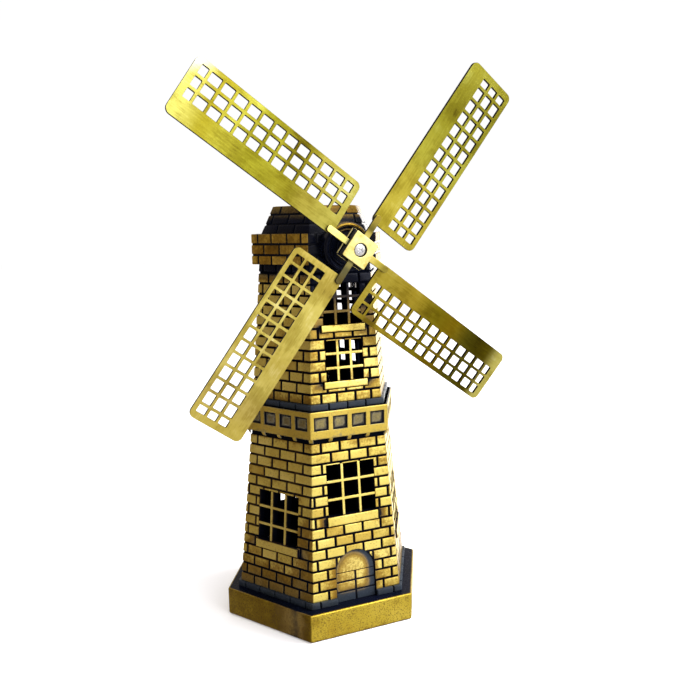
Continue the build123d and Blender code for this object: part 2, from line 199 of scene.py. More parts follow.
def cells(cast, walls, cols, rows, high, low, soft=0.25, ring=0.5, void=None, tone=0.5,
          wear_and_shade=None, closed=False, flush=(), floor_rub=0.0, wobble=0.0):
    """Solid over a grid of cells, minus the void ones, with rounded upper edges."""
    count = len(cols)
    full = {(i, j) for i in range(count if closed else count - 1) for j in range(len(rows) - 1)
            if not (void and void(i, j))}
    if not full:
        return
    made = {}

    def has(i, j):
        return ((i % count) if closed else i, j) in full

    if soft:
        mid = (rows[0] + rows[-1]) / 2
        spans = []
        for i, j in full:
            pa, pb = (walls[c[0]].at(across(walls, c, mid, high), mid, high)
                      for c in (cols[i], cols[(i + 1) % count]))
            if (has(i - 1, j), has(i + 1, j)) == (False, False):
                spans.append((pb - pa).length)
            if (has(i, j - 1), has(i, j + 1)) == (False, False):
                spans.append(rows[j + 1] - rows[j])
        if spans:
            soft = min(soft, 0.3 * min(spans))
            ring = min(ring, 0.3 * (min(spans) - 2 * soft))
    levels = rounding(low, high, soft, ring, floor_rub)

    def vert(i, j, level):
        if closed:
            i %= count
        right = has(i, j) + has(i, j - 1)
        left = has(i - 1, j) + has(i - 1, j - 1)
        above = has(i, j) + has(i - 1, j)
        below = has(i, j - 1) + has(i - 1, j - 1)
        whole = right + left == 4
        if level and (whole or not soft):
            level = 4
        key = (i, j, level)
        if key not in made:
            inset, d, rub = levels[level]
            sx = (right > left) - (right < left)
            sy = (above > below) - (above < below)
            if i in flush:
                sx = 0
            side, _, _, sink = cols[i]
            if whole or not soft:
                inset = 0
            if level:
                d -= sink
            w = rows[j] + sy * inset
            wall = walls[side]
            u = across(walls, cols[i], w, d) + sx * inset
            point = wall.at(u, w, d)
            if level and wobble:
                point = point + wall.out * wobble * noise.noise(point * 0.31)
            if wear_and_shade and level:
                rub *= wear_and_shade(wall, u, w)
            made[key] = cast.vert(point, rub, tone)
        return made[key]

    for i, j in sorted(full):
        corners = ((i, j), (i + 1, j), (i + 1, j + 1), (i, j + 1))
        cast.face([vert(*c, 4) for c in corners])
        cast.face([vert(*c, 0) for c in reversed(corners)])
        beyond = ((i, j - 1), (i + 1, j), (i, j + 1), (i - 1, j))
        for side, other in enumerate(beyond):
            if has(*other):
                continue
            a, b = corners[side], corners[(side + 1) % 4]
            for level in range(4) if soft else (0,):
                up = level + 1 if soft else 4
                cast.face((vert(*a, level), vert(*b, level), vert(*b, up), vert(*a, up)))


def slab(cast, wall, outline, high, low, soft, ring, tone, wear_and_shade):
    """Solid with any simple outline, counter-clockwise, with rounded upper edges."""
    pts = [Vector(p) for p in outline]
    offsets = []
    for i, p in enumerate(pts):
        a = (p - pts[i - 1]).normalized()
        b = (pts[(i + 1) % len(pts)] - p).normalized()
        na, nb = Vector((-a.y, a.x)), Vector((-b.y, b.x))
        both = na + nb
        offsets.append(both / max(both.dot(na), 0.35))
    loops = []
    for inset, d, rub in rounding(low, high, soft, ring):
        loop = [p + o * inset for p, o in zip(pts, offsets)]
        loops.append([cast.vert(wall.at(*q, d), rub * wear_and_shade(wall, *q), tone) for q in loop])
    cast.stack(loops)


def bricks(cast, walls, seams, joints, voids=None, wear_and_shade=None, closed=False, high=0.0, low=None,
           gap_w=0.9, gap_u=1.0, soft=0.28, custom=None, tones=(0.2, 0.8), first=True):
    """Courses of bricks that wrap the corners; joints(row) gives the joints' places."""
    low = -MORTAR - 0.03 if low is None else low
    voids = voids or {}
    round_u = 0.4

    def tone():
        return rng.uniform(*tones)

    def span(a, b, w):
        """The side that two neighbouring columns bound, and their places across it."""
        k = b[0] if a[2] == 1 else a[0]
        return k, across(walls, a, w) if a[0] == k else -walls[k].edge(w, 0), across(walls, b, w)

    for row, (w0, w1) in enumerate(zip(seams, seams[1:])):
        w0 = w0 + (gap_w / 2 if row or first else 0)
        w1 = w1 - gap_w / 2
        stops = []
        for wall in walls:
            reach = wall.edge((w0 + w1) / 2, 0) - gap_u / 2 - 0.5
            stops.append([u + rng.uniform(-0.1, 0.1) for u in joints(row) if abs(u) < reach])

        def lay(cols, flush=()):
            blocked = [r for k in {c[0] for c in cols} for r in voids.get(walls[k].angle, ())
                       if r[2] < w1 - 0.05 and r[3] > w0 + 0.05]
            rows = [w0, w1]
            if blocked:
                rows += [w for r in blocked for w in r[2:] if w0 + 0.1 < w < w1 - 0.1]
                rows = sorted(set(rows))
                extra = []
                for a, b in zip(cols, cols[1:]):
                    k, ua, ub = span(a, b, w0)
                    cuts = {u for r in voids.get(walls[k].angle, ()) if r in blocked
                            for u in r[:2] if ua + 0.1 < u < ub - 0.1}
                    extra.append([col(k, u) for u in sorted(cuts)])
                wide = []
                for c, more in zip(cols, extra + [[]]):
                    wide += [c, *more]
                cols = wide
                flush = tuple(i for i, c in enumerate(cols) if c[2] and i in (0, len(cols) - 1))

            def void(i, j):
                a, b = cols[i], cols[i + 1]
                w = (rows[j] + rows[j + 1]) / 2
                k, ua, ub = span(a, b, w)
                u = (ua + ub) / 2
                if ub - ua < 0.2 and not a[2] and not b[2]:
                    return True
                return any(r[0] < u < r[1] and r[2] < w < r[3]
                           for r in voids.get(walls[k].angle, ()))

            cells(cast, walls, cols, rows, high + rng.uniform(-0.05, 0.03), low, soft, 0.5,
                  void if blocked else None, tone(), wear_and_shade, flush=flush, wobble=0.07)

        g = gap_u / 2
        for k, inner in enumerate(stops):
            for a, b in zip(inner, inner[1:]):
                if custom and custom(cast, walls[k], a + g, b - g, w0, w1, tone()):
                    continue
                lay([col(k, a + g), col(k, b - g)])
            if closed or k + 1 < len(walls):
                n = (k + 1) % len(walls)
                lay([col(k, inner[-1] + g), col(k, -round_u, 1), col(k, 0, 1, 0.1),
                     col(n, round_u, -1), col(n, stops[n][0] - g)])
        if not closed:
            last = len(walls) - 1
            lay([col(0, 0, -1), col(0, stops[0][0] - g)], flush=(0,))
            lay([col(last, stops[last][-1] + g), col(last, 0, 1)], flush=(1,))


def pane_breaks(centre, size):
    clear = (size - 2 * BAR) / 3
    edges, at = [], centre - size / 2
    for _ in range(3):
        edges += [at, at + clear]
        at += clear + BAR
    return edges


MORTAR_RUB = {-150: 0.27, -90: 0.19}    # the mortar is lighter on these two sides only


def core(cast, walls, windows, wear_and_shade, door=False):
    """Wall behind the bricks, pierced by the panes of each window."""
    rows = {0.0, walls[0].length}
    for openings in windows.values():
        for centre, size, _ in openings:
            rows.update(pane_breaks(centre, size))
    if door:
        rows.add(DOOR_APEX)
    rows = sorted(rows)
    cols = []
    for k, wall in enumerate(walls):
        cols.append(col(k, 0, -1))
        breaks = set()
        for _, size, _ in windows.get(wall.angle, ()):
            breaks.update(pane_breaks(0, size))
        if door and wall.angle == -90:
            breaks.update((-DOOR_HALF, DOOR_HALF))
        cols += [col(k, u) for u in sorted(breaks)]
    last = len(walls) - 1
    cols.append(col(last, 0, 1))

    def void(i, j):
        k = cols[i][0]
        wall = walls[k]
        w = (rows[j] + rows[j + 1]) / 2
        if cols[i][2] or cols[i + 1][2]:
            return False
        u = (cols[i][1] + cols[i + 1][1]) / 2
        if door and wall.angle == -90 and abs(u) < DOOR_HALF and w < DOOR_APEX:
            return True
        for centre, size, _ in windows.get(wall.angle, ()):
            us, ws = pane_breaks(0, size), pane_breaks(centre, size)
            inside_u = any(a < u < b for a, b in zip(us[::2], us[1::2]))
            inside_w = any(a < w < b for a, b in zip(ws[::2], ws[1::2]))
            if inside_u and inside_w:
                return True
        return False

    def mortar_wear(wall, u, w):
        return MORTAR_RUB.get(wall.angle, 0.0) * wear_and_shade(wall, u, w)

    cells(cast, walls, cols, rows, -MORTAR, -WALL, soft=0, void=void, tone=0.0, wear_and_shade=mortar_wear)


def muntins(cast, walls, k, centre, size, wear_and_shade):
    us, ws = pane_breaks(0, size), pane_breaks(centre, size)

    def void(i, j):
        return i % 2 == 0 and j % 2 == 0

    cells(cast, walls, [col(k, u) for u in us], ws, -0.12, -MORTAR - 0.03, 0.2, 0.15, void,
          0.75, wear_and_shade, floor_rub=0.1, wobble=0.08)


def window_voids(windows):
    found = {}
    for angle, openings in windows.items():
        rects = []
        for centre, size, (sill_w, sill_h) in openings:
            top = centre - size / 2
            rects.append((-size / 2, size / 2, top, centre + size / 2))
            rects.append((-sill_w / 2 - 0.5, sill_w / 2 + 0.5, top - sill_h - 0.4, top))
        found[angle] = rects
    return found


# ---- materials ----
class Graph:
    """Small helper that adds linked nodes to a material or to the world."""

    def __init__(self, owner):
        owner.use_nodes = True
        self.owner, self.nodes, self.links = owner, owner.node_tree.nodes, owner.node_tree.links

    def add(self, kind, **settings):
        node = self.nodes.new(kind)
        for key, value in settings.items():
            setattr(node, key, value)
        return node

    def put(self, socket, value):
        if hasattr(value, "is_output"):
            self.links.new(value, socket)
        elif socket.type == "RGBA":
            socket.default_value = (*value, 1)
        else:
            socket.default_value = value

    def math(self, operation, a, b=0.0, c=0.0, clamp=False):
        node = self.add("ShaderNodeMath", operation=operation, use_clamp=clamp)
        for socket, value in zip(node.inputs, (a, b, c)):
            self.put(socket, value)
        return node.outputs[0]

    def blend(self, factor, a, b, how="MIX"):
        node = self.add("ShaderNodeMix", data_type="RGBA", blend_type=how)
        for place_in, value in zip((0, 6, 7), (factor, a, b)):
            self.put(node.inputs[place_in], value)
        return node.outputs[2]

    def ramp(self, factor, stops, interpolation="EASE"):
        """Colours along a factor; a number stands for a grey."""
        node = self.add("ShaderNodeValToRGB")
        node.color_ramp.interpolation = interpolation
        elements = node.color_ramp.elements
        while len(elements) < len(stops):
            elements.new(0.5)
        for element, (at, color) in zip(elements, stops):
            element.position = at
            element.color = (*color, 1) if isinstance(color, tuple) else (color, color, color, 1)
        self.put(node.inputs[0], factor)
        return node.outputs[0]

    def attribute(self, name):
        return self.add("ShaderNodeAttribute", attribute_name=name).outputs["Fac"]

    def coords(self, scale=(1, 1, 1)):
        mapping = self.add("ShaderNodeMapping")
        mapping.inputs["Scale"].default_value = scale
        self.put(mapping.inputs["Vector"], self.add("ShaderNodeTexCoord").outputs["Object"])
        return mapping.outputs[0]

    def axes(self):
        split = self.add("ShaderNodeSeparateXYZ")
        self.put(split.inputs[0], self.coords())
        return split.outputs

    def noise(self, vector, scale, detail, rough, w=None):
        node = self.add("ShaderNodeTexNoise")
        if w is not None:
            node.noise_dimensions = "4D"
            node.inputs["W"].default_value = w
        for key, value in (("Vector", vector), ("Scale", scale), ("Detail", detail), ("Roughness", rough)):
            self.put(node.inputs[key], value)
        return node.outputs["Fac"]

    def bump(self, height, strength, distance):
        node = self.add("ShaderNodeBump")
        for key, value in (("Strength", strength), ("Distance", distance), ("Height", height)):
            self.put(node.inputs[key], value)
        return node.outputs[0]

    def out(self, **sockets):
        for key, value in sockets.items():
            self.put(self.nodes["Principled BSDF"].inputs[key.replace("_", " ")], value)
        return self.owner


BLACK = (0.0018, 0.0026, 0.0065)
BROWN = (0.155, 0.10, 0.025)
OLIVE = (0.38, 0.25, 0.045)
GOLD = (0.79, 0.65, 0.16)
# A painted sheen: a grey-blue reflection painted in place of the black patina on the door and the plinths.
PAINTED_SHEEN = (0.013, 0.017, 0.020)


def patinated(name, gold=GOLD, olive=OLIVE, brown=BROWN, speck=0.5, grain=1.0, shine=0.1, dense=0.03):
    """Cast brass whose black patina is rubbed through where the rub value is high; that value also paints
    shade on some sides, and a tone near 1 paints a sheen, a painted reflection, on the black.
    """
    g = Graph(bpy.data.materials.new(name))
    at = g.coords()
    rub, tone_and_sheen_code = g.attribute("rub"), g.attribute("tone")
    tone = g.math("MINIMUM", tone_and_sheen_code, 0.8)
    offset = g.math("SUBTRACT", tone, 0.5)
    coarse = g.noise(at, 140, 4, 0.6)
    fine = g.noise(at, 900, 3, 0.65)
    specks = g.noise(at, 1900, 2, 0.5)
    shift = g.math("ADD", g.math("MULTIPLY_ADD", coarse, 0.60, -0.36),
                   g.math("MULTIPLY_ADD", fine, 0.50, -0.29))
    shift = g.math("MULTIPLY", shift, g.ramp(rub, ((0.0, 0.05), (0.7, 1))))
    shown = g.math("ADD", g.math("MULTIPLY_ADD", offset, 0.2, rub), shift, clamp=True)
    # Where the tone is near 1, the black is swapped for the painted sheen.
    painted_sheen = g.blend(g.ramp(tone_and_sheen_code, ((0.9, 0), (0.99, 1)), "LINEAR"), BLACK, PAINTED_SHEEN)
    color = g.ramp(shown, ((0.10, brown), (0.34, brown), (0.60, olive), (0.86, gold), (1.0, gold)))
    color = g.blend(g.ramp(shown, ((0.08, 0), (0.34, 1))), painted_sheen, color)
    lift = g.math("MULTIPLY_ADD", offset, 0.7, g.noise(at, 60, 2, 0.5))
    tint = g.ramp(lift, ((0.22, (0.72, 0.60, 0.42)), (0.5, 1), (0.8, (1.2, 1.24, 1.6))))
    color = g.blend(0.75, color, tint, "MULTIPLY")
    dots = g.ramp(specks, ((0.30 + dense, 1), (0.37 + dense, 0)), "LINEAR")
    metal = g.ramp(shown, ((0.14, 0), (0.5, 0.95)))
    dots = g.math("MULTIPLY", g.math("MULTIPLY", dots, speck), metal)
    matte = g.ramp(tone, ((0.0, 1), (0.1, 0)), "LINEAR")
    rough = g.math("ADD", g.ramp(shown, ((0.1, 0.25), (0.6, 0.38))),
                   g.math("MULTIPLY_ADD", fine, 0.22, -0.11), clamp=True)
    rough = g.math("MULTIPLY_ADD", matte, 0.6, rough, clamp=True)
    height = g.math("ADD", g.math("MULTIPLY", fine, 0.6), g.math("MULTIPLY", coarse, 0.8))
    return g.out(Base_Color=g.blend(dots, color, brown), Metallic=metal, Roughness=rough,
                 Normal=g.bump(height, 0.5 * grain, 0.00012),
                 Specular_IOR_Level=g.math("MULTIPLY_ADD", matte, -shine, shine))


brick_brass = patinated("brick_brass")
base_brass = patinated("base_brass", (0.53, 0.40, 0.045), (0.31, 0.22, 0.024), speck=0.8, grain=1.6,
                       shine=0.05, dense=0.08)
gallery_brass = patinated("gallery_brass", (0.61, 0.455, 0.08), (0.33, 0.28, 0.12), (0.14, 0.12, 0.065))
cap_brass = patinated("cap_brass", (0.66, 0.45, 0.07), (0.34, 0.21, 0.03), (0.13, 0.085, 0.02))


def along_arm(g, stops):
    """Colour that changes along the arm; stops are (distance from the shaft in mm, colour)."""
    return g.ramp(g.math("MULTIPLY", g.axes()[0], 10), [(at / 100, color) for at, color in stops])


def sail_brass_material(name, seed, tinting, painted_highlight=False):
    """Brushed brass sheet with dull stains, painted highlights and painted shade along it, and its cut sides
    painted black as shade.
    """
    g = Graph(bpy.data.materials.new(name))
    even = g.coords()
    brushed = g.noise(g.coords((130, 1500, 1500)), 1.0, 4, 0.6, seed)
    blotch = g.noise(even, 75, 4, 0.62, seed)
    cloud = g.noise(even, 30, 2, 0.5, seed + 5)
    grit = g.noise(even, 1500, 2, 0.5, seed)
    level = g.math("ADD", g.math("MULTIPLY_ADD", blotch, 0.92, -0.15), g.math("MULTIPLY", cloud, 0.38))
    level = g.math("ADD", level, g.math("MULTIPLY_ADD", brushed, 0.34, -0.17))
    color = g.ramp(level, ((0.26, (0.24, 0.18, 0.03)), (0.40, (0.46, 0.38, 0.065)),
                           (0.54, (0.64, 0.55, 0.12)), (0.72, (0.84, 0.77, 0.29))))
    color = g.blend(1.0, color, along_arm(g, tinting), "MULTIPLY")
    # A painted highlight: the sail's outer upper corner is washed pale.
    if painted_highlight:
        x, y, _ = g.axes()
        corner = g.math("MULTIPLY", g.math("SUBTRACT", x, y), 8)
        color = g.blend(g.ramp(corner, ((0.85, 0), (0.94, 0.55))), color, (1.0, 1.0, 0.92))
    grain = g.math("MULTIPLY", g.ramp(grit, ((0.30, 1), (0.36, 0)), "LINEAR"), 0.15)
    color = g.blend(grain, color, (0.17, 0.115, 0.02))
    rub = g.attribute("rub")
    # The cut sides are painted black as shade.
    color = g.blend(g.ramp(rub, ((0.35, 1), (0.9, 0))), color, (0.010, 0.008, 0.006))
    height = g.math("ADD", brushed, g.math("MULTIPLY", blotch, 0.6))
    return g.out(Base_Color=color, Metallic=g.ramp(rub, ((0.4, 0), (0.9, 0.95))),
                 Roughness=g.math("MULTIPLY_ADD", brushed, -0.20, 0.50),
                 Normal=g.bump(height, 0.2, 0.00005), Specular_IOR_Level=0.03)


# Stains along each sail and arm, with painted highlights and painted shade: millimetres from the
# shaft, and the tint there. A script that compared the photo with a render made these numbers,
# which breaks a rule; see report.md.
SAIL_STAINS_AND_PAINTED_LIGHT = (
    ((20, (0.69, 0.68, 0.38)), (35, (0.64, 0.64, 0.35)), (50, (0.51, 0.56, 0.30)),
     (66, (0.34, 0.37, 0.14)), (82, (0.29, 0.31, 0.12)), (92, (0.37, 0.40, 0.19))),
    ((20, (0.44, 0.46, 0.39)), (30, (0.38, 0.38, 0.27)), (40, (0.28, 0.29, 0.10)),
     (58, (0.33, 0.36, 0.12)), (70, (0.46, 0.50, 0.25)), (80, (0.38, 0.38, 0.12)), (92, (0.71, 0.78, 0.78))),
    ((20, (0.74, 0.70, 0.72)), (30, (0.84, 0.84, 0.92)), (48, (0.84, 0.83, 0.90)),
     (60, (0.70, 0.66, 0.60)), (70, (0.84, 0.83, 0.96)), (80, (0.70, 0.65, 0.76)), (92, (0.78, 0.74, 0.70))),
    ((20, (0.57, 0.53, 0.29)), (35, (0.52, 0.46, 0.19)), (50, (0.27, 0.25, 0.045)),
     (60, (0.24, 0.19, 0.022)), (72, (0.11, 0.11, 0.03)), (84, (0.12, 0.11, 0.014)), (93, (0.72, 0.76, 0.85))))
ARM_STAINS_AND_PAINTED_LIGHT = (
    ((4, (0.95, 0.92, 0.60)), (7.5, (0.60, 0.56, 0.30)), (10, (0.18, 0.17, 0.08)), (15, (0.40, 0.36, 0.15))),
    ((4, (0.50, 0.50, 0.40)), (7, (0.70, 0.70, 0.50)), (10, (0.86, 0.87, 0.58)), (15, (0.96, 0.97, 0.76))),
    ((4, (0.60, 0.60, 0.50)), (7, (0.30, 0.29, 0.22)), (10, (0.12, 0.125, 0.13)), (15, (0.12, 0.11, 0.09))),
    ((4, (0.95, 0.90, 0.70)), (8, (0.80, 0.76, 0.45)), (11, (0.58, 0.55, 0.22)), (15, (0.33, 0.31, 0.13))))
sail_brasses = [sail_brass_material(f"sail_brass_sheet_{n + 1}", 4.8 + 9.3 * n, tinting, n == 1)
                for n, tinting in enumerate(SAIL_STAINS_AND_PAINTED_LIGHT)]


def hub_material(name="hub_brass", tinting=None):
    """Polished brass, black where the rub value is low, which paints shade on the sides of the hub and arms;
    arms are tinted along their length with stains, painted highlights and painted shade.
    """
    g = Graph(bpy.data.materials.new(name))
    at = g.coords()
    wisp = g.noise(at, 260, 4, 0.6)
    fine = g.noise(at, 1300, 2, 0.5)
    face = g.ramp(wisp, ((0.3, (0.66, 0.54, 0.13)), (0.5, (0.86, 0.76, 0.30)), (0.7, (0.93, 0.86, 0.42))))
    if tinting:
        face = g.blend(1.0, face, along_arm(g, tinting), "MULTIPLY")
    level = g.math("ADD", g.attribute("rub"), g.math("MULTIPLY_ADD", fine, 0.3, -0.15), clamp=True)
    return g.out(Base_Color=g.blend(g.ramp(level, ((0.15, 1), (0.55, 0))), face, BLACK),
                 Metallic=g.ramp(level, ((0.15, 0.1), (0.55, 0.95))),
                 Roughness=g.math("MULTIPLY_ADD", fine, 0.2, 0.26),
                 Normal=g.bump(wisp, 0.3, 0.00005), Specular_IOR_Level=0.2)


hub_brass = hub_material()
arm_brasses = [hub_material(f"arm_brass_{n + 1}", tinting) for n, tinting in enumerate(ARM_STAINS_AND_PAINTED_LIGHT)]


def steel(name, color, dark, rough, stretch=(1, 1, 1)):
    g = Graph(bpy.data.materials.new(name))
    grain = g.noise(g.coords(stretch), 900, 3, 0.6)
    haze = g.noise(g.coords(), 220, 3, 0.6)
    tone = g.math("ADD", g.math("MULTIPLY", grain, 0.5), g.math("MULTIPLY", haze, 0.5))
    return g.out(Base_Color=g.ramp(tone, ((0.32, dark), (0.62, color))), Metallic=1.0,
                 Roughness=g.math("MULTIPLY_ADD", grain, 0.3, rough), Normal=g.bump(grain, 0.25, 0.00004))


screw_steel = steel("nickel_screw", (0.86, 0.87, 0.90), (0.55, 0.56, 0.60), 0.10)
shaft_steel = steel("ground_steel", (0.56, 0.56, 0.57), (0.36, 0.36, 0.37), 0.22, (1, 6, 1))
bush_metal = steel("turned_bush", (0.58, 0.44, 0.18), (0.32, 0.23, 0.08), 0.24, (1, 8, 1))


def foam_material():
    g = Graph(bpy.data.materials.new("foam_pad"))
    at = g.coords()
    pores = g.add("ShaderNodeTexVoronoi")
    g.put(pores.inputs["Vector"], at)
    g.put(pores.inputs["Scale"], 1500)
    color = g.ramp(g.noise(at, 300, 3, 0.6), ((0.3, (0.012, 0.012, 0.013)), (0.7, (0.035, 0.035, 0.037))))
    return g.out(Base_Color=color, Roughness=0.92, Normal=g.bump(pores.outputs["Distance"], 0.8, 0.0003))


foam = foam_material()


# ---- tower stages ----
LOWER_WINDOWS = {}
UPPER_WINDOWS = {}
for angle in ANGLES:
    tall = angle in TALL
    LOWER_WINDOWS[angle] = [(51.8 if tall else 37.0, 23.4, (24.8, 4.15 if tall else 3.75))]
    if angle == PLAIN:
        LOWER_WINDOWS[angle] = []
    if tall:
        UPPER_WINDOWS[angle] = [(21.3, 18.1, (21.0, 3.1)), (46.3, 18.1, (21.0, 3.1))]

LOWER_SEAMS = [2.2 + 4.79 * k for k in range(16)]
UPPER_SEAMS = [2.4 + 4.8 * k for k in range(13)] + [64.2]


def lower_joints(row):
    return (-13.65, -4.55, 4.55, 13.65) if row % 2 == 0 else (-18.2, -9.1, 0, 9.1, 18.2)


def upper_joints(row):
    return (-12.2, -4.5, 4.5, 12.2) if row % 2 == 0 else (-8.9, 0, 8.9)


def patch(u, w, at_u, at_w, size_u, size_w):
    """1 at a patina patch's middle, 0 outside it."""
    far = math.hypot((u - at_u) / size_u, (w - at_w) / size_w)
    return 1 - smooth(0.35, 1.0, far)


def lower_wear_and_shade(wall, u, w):
    rub = 1.0
    # Darker towards the bottom, less so on the front side.
    rub *= mix(0.34, 1.0, smooth(-2, 24, w)) if wall.angle != -90 else mix(0.9, 1.0, smooth(2, 7, w))
    # Darker just under the gallery.
    rub *= mix(0.72, 1.0, smooth(75.5, 70.5, w))
    for centre, size, (sill_w, sill_h) in LOWER_WINDOWS[wall.angle]:
        low = centre - size / 2 - sill_h / 2
        for end in (-1, 1):
            rub *= 1 - 0.92 * patch(u, w, end * (sill_w / 2 + 0.8), low, 3.4, 3.6)
    if wall.angle == -90:
        for end in (-1, 1):
            rub *= 1 - 0.35 * patch(u, w, end * 9.9, 10, 2.0, 14)
        # The front side is darker to the right: painted shade.
        rub *= mix(1.0, 0.9, smooth(2, 18, u))
    if wall.angle == -150:
        rub *= 1 - 0.35 * patch(u, w, 16, 26, 8, 20)
    return rub


def upper_wear_and_shade(wall, u, w):
    rub = mix(0.62, 1.0, smooth(2, 9, w)) if wall.angle != -90 else 0.84
    # Dark just under the cap: patina and painted shade.
    rub *= mix(0.05, 1.0, smooth(60.5, 54.5, w))
    if wall.angle == -90:
        # The front side is darker towards the top.
        rub *= mix(0.08, 1.0, smooth(52, 26, w))
    for centre, size, (sill_w, sill_h) in UPPER_WINDOWS.get(wall.angle, ()):
        low = centre - size / 2 - sill_h / 2
        for end in (-1, 1):
            rub *= 1 - 0.95 * patch(u, w, end * (sill_w / 2 + 0.6), low, 2.6, 3.2)
    return rub


def arch_height(u):
    return DOOR_SPRING + math.sqrt(max(DOOR_HALF ** 2 - u * u, 0))


ARCH_MARKS = [DOOR_HALF * math.cos(math.pi * i / 26) for i in range(27)]


def arch_brick(wear_and_shade):
    """Lays a brick that the door's arch may cut; says whether it did."""

    def lay(cast, wall, u0, u1, w0, w1, tone):
        near = DOOR_HALF - 0.3
        if wall.angle != -90 or w0 > DOOR_APEX or u0 > near or u1 < -near:
            return False
        marks = sorted({u0, u1} | {u for u in ARCH_MARKS if u0 + 0.2 < u < u1 - 0.2}
                       | {u for u in (-DOOR_HALF, DOOR_HALF) if u0 < u < u1})
        run, runs = [], []
        for u in marks:
            inside = max(w0, arch_height(u)) if abs(u) < DOOR_HALF - 1e-6 else None
            if abs(abs(u) - DOOR_HALF) < 1e-6:
                feet = [max(w0, DOOR_SPRING), w0] if u > 0 else [w0, max(w0, DOOR_SPRING)]
            else:
                feet = [w0 if inside is None else inside]
            for foot in feet:
                if foot < w1 - 0.4:
                    if not run or (u, foot) != run[-1]:
                        run.append((u, foot))
                elif run:
                    runs.append(run)
                    run = []
        if run:
            runs.append(run)
        for run in runs:
            if run[-1][0] - run[0][0] > 0.5:
                outline = [*run, (run[-1][0], w1), (run[0][0], w1)]
                slab(cast, wall, outline, 0.0, -MORTAR - 0.03, 0.18, 0.3, tone, wear_and_shade)
        return True

    return lay


def door_wear(wall, u, w):
    far = abs(u + 1.3)
    if w > DOOR_SPRING:
        far = math.hypot(u + 1.3, 0.95 * (w - DOOR_SPRING))
    return (1 - smooth(5.0, 9.2, far)) * mix(0.0, 1.0, smooth(2.8, 7.2, w)) * 0.76


DOOR_PANEL = 9.55    # radius of the panel under the arch


def door(cast, walls, k):
    wall = walls[k]
    back = -DOOR_DEEP - 0.45
    cells(cast, walls, [col(k, -DOOR_HALF), col(k, DOOR_HALF)], [0, DOOR_APEX], back, -WALL, soft=0,
          wear_and_shade=lambda *_: 0.0)
    steps = 14
    for end in (-1, 1):
        arc = [(end * DOOR_HALF * math.cos(a), DOOR_SPRING + DOOR_HALF * math.sin(a))
               for a in (math.pi / 2 * i / steps for i in range(steps + 1))]
        outline = arc + [(end * DOOR_HALF, DOOR_APEX)]
        if end > 0:
            outline = outline[::-1]
        cast.stack([[cast.vert(wall.at(u, w, d), 0.0) for u, w in outline] for d in (-WALL, -MORTAR)])
    for w0, w1 in ((0.1, 4.2), (5.0, 8.8), (9.6, 13.25)):
        for end in (-1, 1):
            us = sorted(end * u for u in (0.45, 2.0, 4.0, 5.6, 7.0, 8.4, 9.5))
            # Tone 1 paints a sheen on the black of these blocks.
            cells(cast, walls, [col(k, u) for u in us], [w0, (w0 + w1) / 2, w1], -DOOR_DEEP,
                  back - 0.05, 0.18, 0.3, tone=1.0, wear_and_shade=door_wear)
    spokes = 24
    grid = []
    foot = DOOR_SPRING + 0.2
    for r in (0.0, 2.2, 4.2, 5.8, 7.2, 8.4, 9.3, DOOR_PANEL):
        row = []
        for i in range(spokes + 1):
            a = math.pi * i / spokes
            u, w = r * math.cos(a), r * math.sin(a)
            d = -DOOR_DEEP + 0.25 * (1 - (r / DOOR_PANEL) ** 2) - (0.25 if r > 9.5 else 0)
            # Tone 1 paints a sheen on the black of the panel.
            row.append(cast.vert(wall.at(u, foot + w, d), door_wear(wall, u, DOOR_SPRING + 0.01 + w), 1.0))
        grid.append(row)
    skirt = [cast.vert(wall.at(DOOR_PANEL * math.cos(math.pi * i / spokes),
                               foot + DOOR_PANEL * math.sin(math.pi * i / spokes), back - 0.05), 0.0)
             for i in range(spokes + 1)]
    for a, b in zip(grid, grid[1:] + [skirt]):
        for i in range(spokes):
            cast.face((a[i], b[i], b[i + 1], a[i + 1]))
    front_run = [row[0] for row in grid] + [skirt[0]]
    other_run = [row[-1] for row in grid[1:]] + [skirt[-1]]
    cast.face(front_run + other_run[::-1])
    cast.face(skirt)


def tower_half(stage, windows, seams, joints, wear_and_shade, angles, with_door):
    cast = Casting()
    walls = sides(stage, angles)
    own = {a: v for a, v in windows.items() if a in angles}
    core(cast, walls, own, wear_and_shade, with_door)
    voids = window_voids(own)
    bricks(cast, walls, seams, joints, voids, wear_and_shade,
           custom=arch_brick(wear_and_shade) if with_door else None)
    for k, wall in enumerate(walls):
        for centre, size, (sill_w, sill_h) in own.get(wall.angle, ()):
            muntins(cast, walls, k, centre, size, wear_and_shade)
            top = centre - size / 2
            us = [-sill_w / 2 + sill_w * i / 6 for i in range(7)]
            cells(cast, walls, [col(k, u) for u in us], [top - sill_h, top - 0.05], 0.8,
                  -MORTAR - 0.05, 0.3, 0.4, tone=0.62,
                  wear_and_shade=(lambda wall, u, w: 0.97) if stage is LOWER else
                  (lambda wall, u, w: 0.97 * mix(0.35, 1, smooth(58, 30, w))), wobble=0.1)
    if with_door:
        door(cast, walls, 1)
    foot_r, foot_z = stage[0] + STEP, stage[1]
    high = 2.3
    plinth = sides((foot_r, foot_z, foot_r, foot_z + high), angles)
    blocked = {-90: [(-DOOR_HALF, DOOR_HALF, -1, 9)]} if with_door else {}
    pattern = (-18.2, -9.1, 0, 9.1, 18.2) if stage is LOWER else (-9, 0, 9)
    # The plinth's tone near 1 paints a sheen on its black.
    bricks(cast, plinth, [0, high + 0.9], lambda row: pattern, blocked, lambda *_: 0.04,
           low=-2.2, gap_u=0.7, soft=0.35, tones=(0.99, 1.0), first=False)
    return cast


